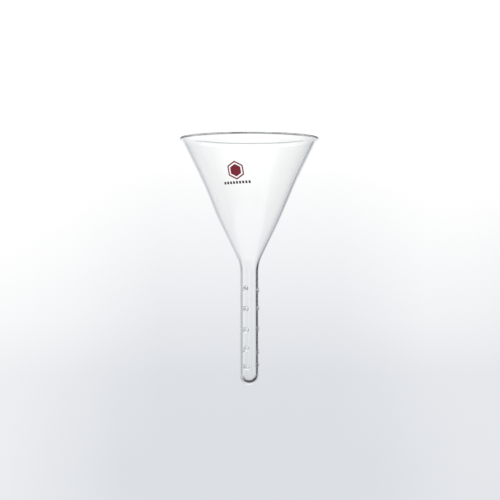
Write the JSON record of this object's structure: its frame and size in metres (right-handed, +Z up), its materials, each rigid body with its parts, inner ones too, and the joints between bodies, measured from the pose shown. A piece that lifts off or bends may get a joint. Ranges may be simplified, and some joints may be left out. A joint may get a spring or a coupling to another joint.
{
  "type": "glass funnel with perforated stem",
  "caption": "Thin conical glass funnel with a rounded flared rim and a straight, round-bottomed stem pierced by side holes with raised fire-polished lips.",
  "frame": {"origin": "lowest point of the closed tip, on the funnel's axis", "axes": "+Z up the axis from the tip to the rim; -Y is the front, where the enamel mark is; +X to the right seen from the front"},
  "size_m": [0.075, 0.075, 0.1337],
  "materials": {
    "clear_glass": "clear, fire-polished borosilicate glass",
    "red_enamel": "dark red enamel, screen-printed and fired, satin",
    "dark_enamel": "near-black enamel, screen-printed and fired, satin"
  },
  "bodies": {
    "root": {"rim_lip": "clear_glass", "cone_wall": "clear_glass", "neck_shoulder": "clear_glass", "stem_tube": "clear_glass", "stem_tip": "clear_glass", "hole_lips": "clear_glass", "enamel_badge": "red_enamel", "enamel_line": "dark_enamel"}
  },
  "joints": []
}
